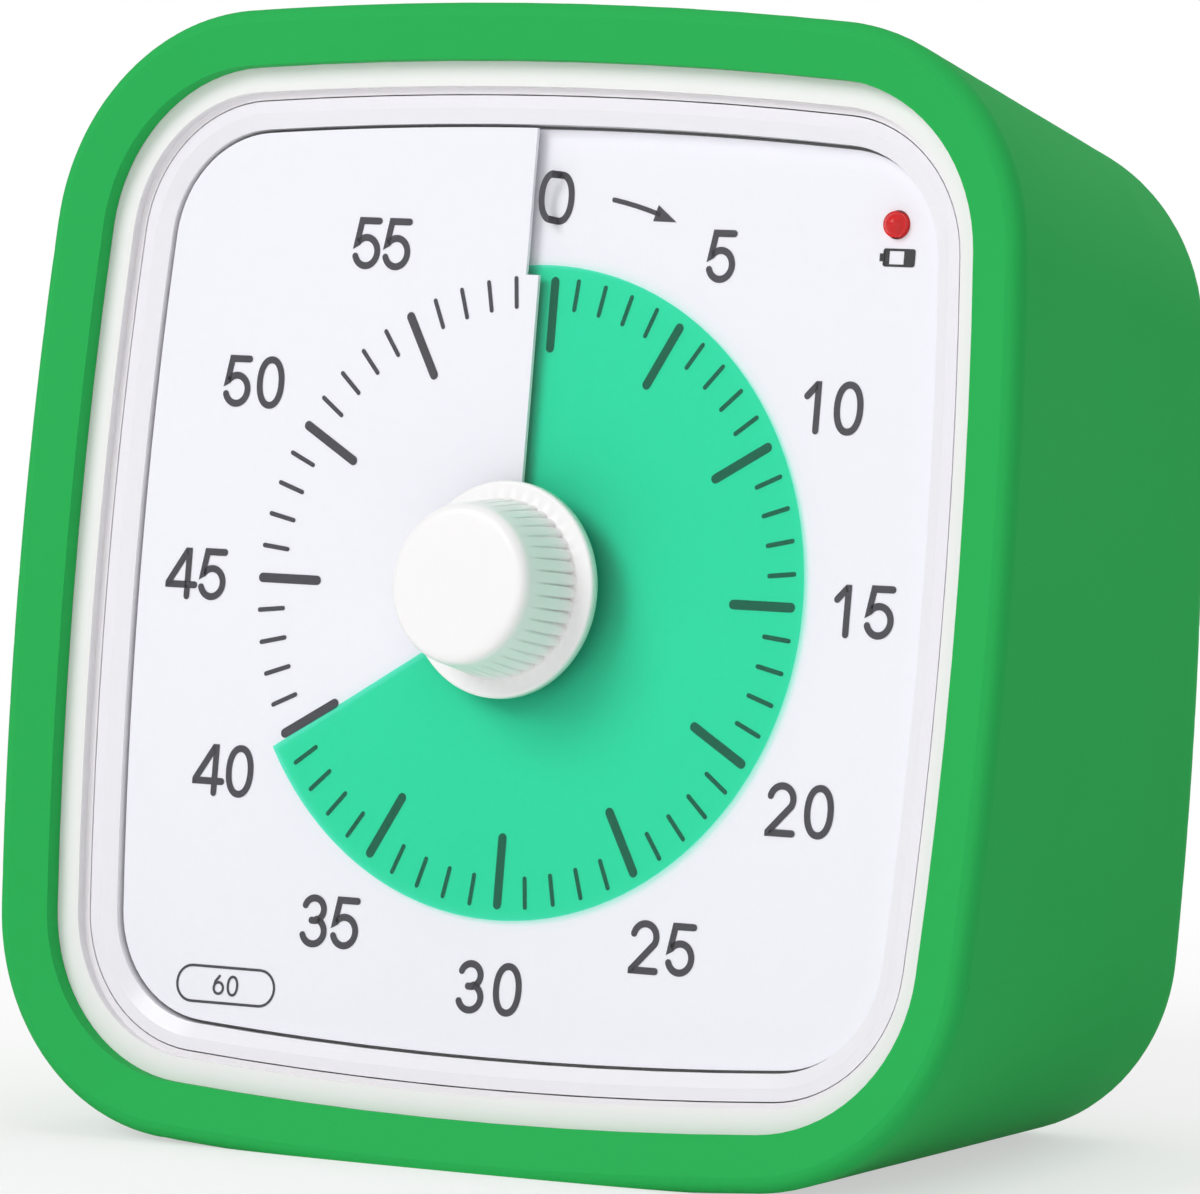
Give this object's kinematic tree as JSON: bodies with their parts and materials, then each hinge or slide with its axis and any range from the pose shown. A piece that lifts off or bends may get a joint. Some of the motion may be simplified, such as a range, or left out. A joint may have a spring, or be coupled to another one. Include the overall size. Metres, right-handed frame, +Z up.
{
  "type": "visual countdown timer",
  "caption": "Square one-hour visual countdown timer with bowed sides: a ribbed knob sets a green disc over a white minute dial, in a green rubber cover that leans back on its foot.",
  "frame": {"origin": "middle of the flat foot under the rubber cover, on the surface that the timer stands on", "axes": "+Z up; -Y the side the face looks to (the face leans back 8 degrees, so its own axis points along -Y and a little up); +X to the right of a person who reads the dial; the rest pose shows 40 minutes"},
  "size_m": [0.0846, 0.0466, 0.0832],
  "materials": {
    "cover_rubber": "satin",
    "case_white": "matte",
    "knob_white": "satin",
    "window_clear": "clear",
    "dial_white": "matte",
    "disc_green": "satin translucent",
    "carrier_white": "matte",
    "gear_resin": "matte",
    "steel": "satin",
    "brass": "satin",
    "magnet": "matte",
    "copper_wire": "satin",
    "light_red": "clear",
    "wire_sleeve": "satin",
    "board_green": "satin",
    "chip_black": "matte",
    "buzzer_black": "matte",
    "switch_grey": "matte",
    "cell_jacket": "satin",
    "nickel": "bright"
  },
  "bodies": {
    "case_group": {"silicone_cover": "cover_rubber", "front_housing": "case_white", "rear_housing": "case_white", "lens": "window_clear", "dial_ring": "case_white", "dial_plate": "dial_white", "dial_carrier": "carrier_white", "movement_front_plate": "carrier_white", "movement_rear_plate": "carrier_white", "movement_pillars": "brass", "movement_screws": "steel", "shaft_bushes": "brass", "stator": "steel", "coil_core": "steel", "coil_bobbin": "chip_black", "coil_winding": "copper_wire", "indicator_light": "light_red", "light_leads": "nickel", "light_wires": "wire_sleeve", "circuit_board": "board_green", "control_chip": "chip_black", "quartz_crystal": "nickel", "buzzer": "buzzer_black", "switch_body": "buzzer_black", "cell": "cell_jacket", "contact_positive": "nickel", "contact_negative": "nickel", "contact_spring": "nickel", "case_screws": "steel"},
    "knob_group": {"knob": "knob_white", "knob_shaft": "steel", "retaining_ring": "steel", "clutch_spring": "steel"},
    "centre_group": {"centre_wheel": "gear_resin"},
    "disc_group": {"countdown_disc": "disc_green", "disc_hub": "disc_green"},
    "third_group": {"third_wheel": "gear_resin"},
    "fourth_group": {"fourth_wheel": "gear_resin"},
    "rotor_group": {"rotor_pinion": "gear_resin", "rotor_magnet": "magnet"},
    "door_group": {"battery_door": "case_white"},
    "switch_group": {"volume_switch": "switch_grey"}
  },
  "joints": [
    {"name": "knob_turn", "type": "hinge", "parent": "case_group", "child": "knob_group", "pos_m": [0, -0.01582, 0.04149], "axis": [0, 0.9903, -0.1392], "range_deg": [-240, 120]},
    {"name": "disc_climb", "type": "slide", "parent": "knob_group", "child": "disc_group", "axis": [0, -0.9903, 0.1392], "range_m": [-0.00072, 0.00039]},
    {"name": "rotor_turn", "type": "hinge", "parent": "case_group", "child": "rotor_group", "pos_m": [-0.00433, -0.00437, 0.04967], "axis": [0, 0.9903, -0.1392], "continuous": true},
    {"name": "fourth_turn", "type": "hinge", "parent": "case_group", "child": "fourth_group", "pos_m": [-0.01079, -0.00512, 0.0443], "axis": [0, 0.9903, -0.1392], "continuous": true},
    {"name": "third_turn", "type": "hinge", "parent": "case_group", "child": "third_group", "pos_m": [-0.00927, -0.00434, 0.03551], "axis": [0, 0.9903, -0.1392], "continuous": true},
    {"name": "centre_turn", "type": "hinge", "parent": "case_group", "child": "centre_group", "pos_m": [0, -0.00176, 0.03951], "axis": [0, 0.9903, -0.1392], "continuous": true},
    {"name": "battery_door", "type": "hinge", "parent": "case_group", "child": "door_group", "pos_m": [0, 0.019, 0.0112], "axis": [-1, 0, 0], "range_deg": [0, 75]},
    {"name": "volume_slide", "type": "slide", "parent": "case_group", "child": "switch_group", "axis": [1, 0, 0], "range_m": [-0.002, 0.002]}
  ],
  "couplings": [
    {"joint": "disc_climb", "follows": "knob_turn", "m_per_rad": 0.00015915},
    {"joint": "fourth_turn", "follows": "rotor_turn", "ratio": -0.16667},
    {"joint": "third_turn", "follows": "rotor_turn", "ratio": 0.026667},
    {"joint": "centre_turn", "follows": "rotor_turn", "ratio": -0.0035556}
  ]
}
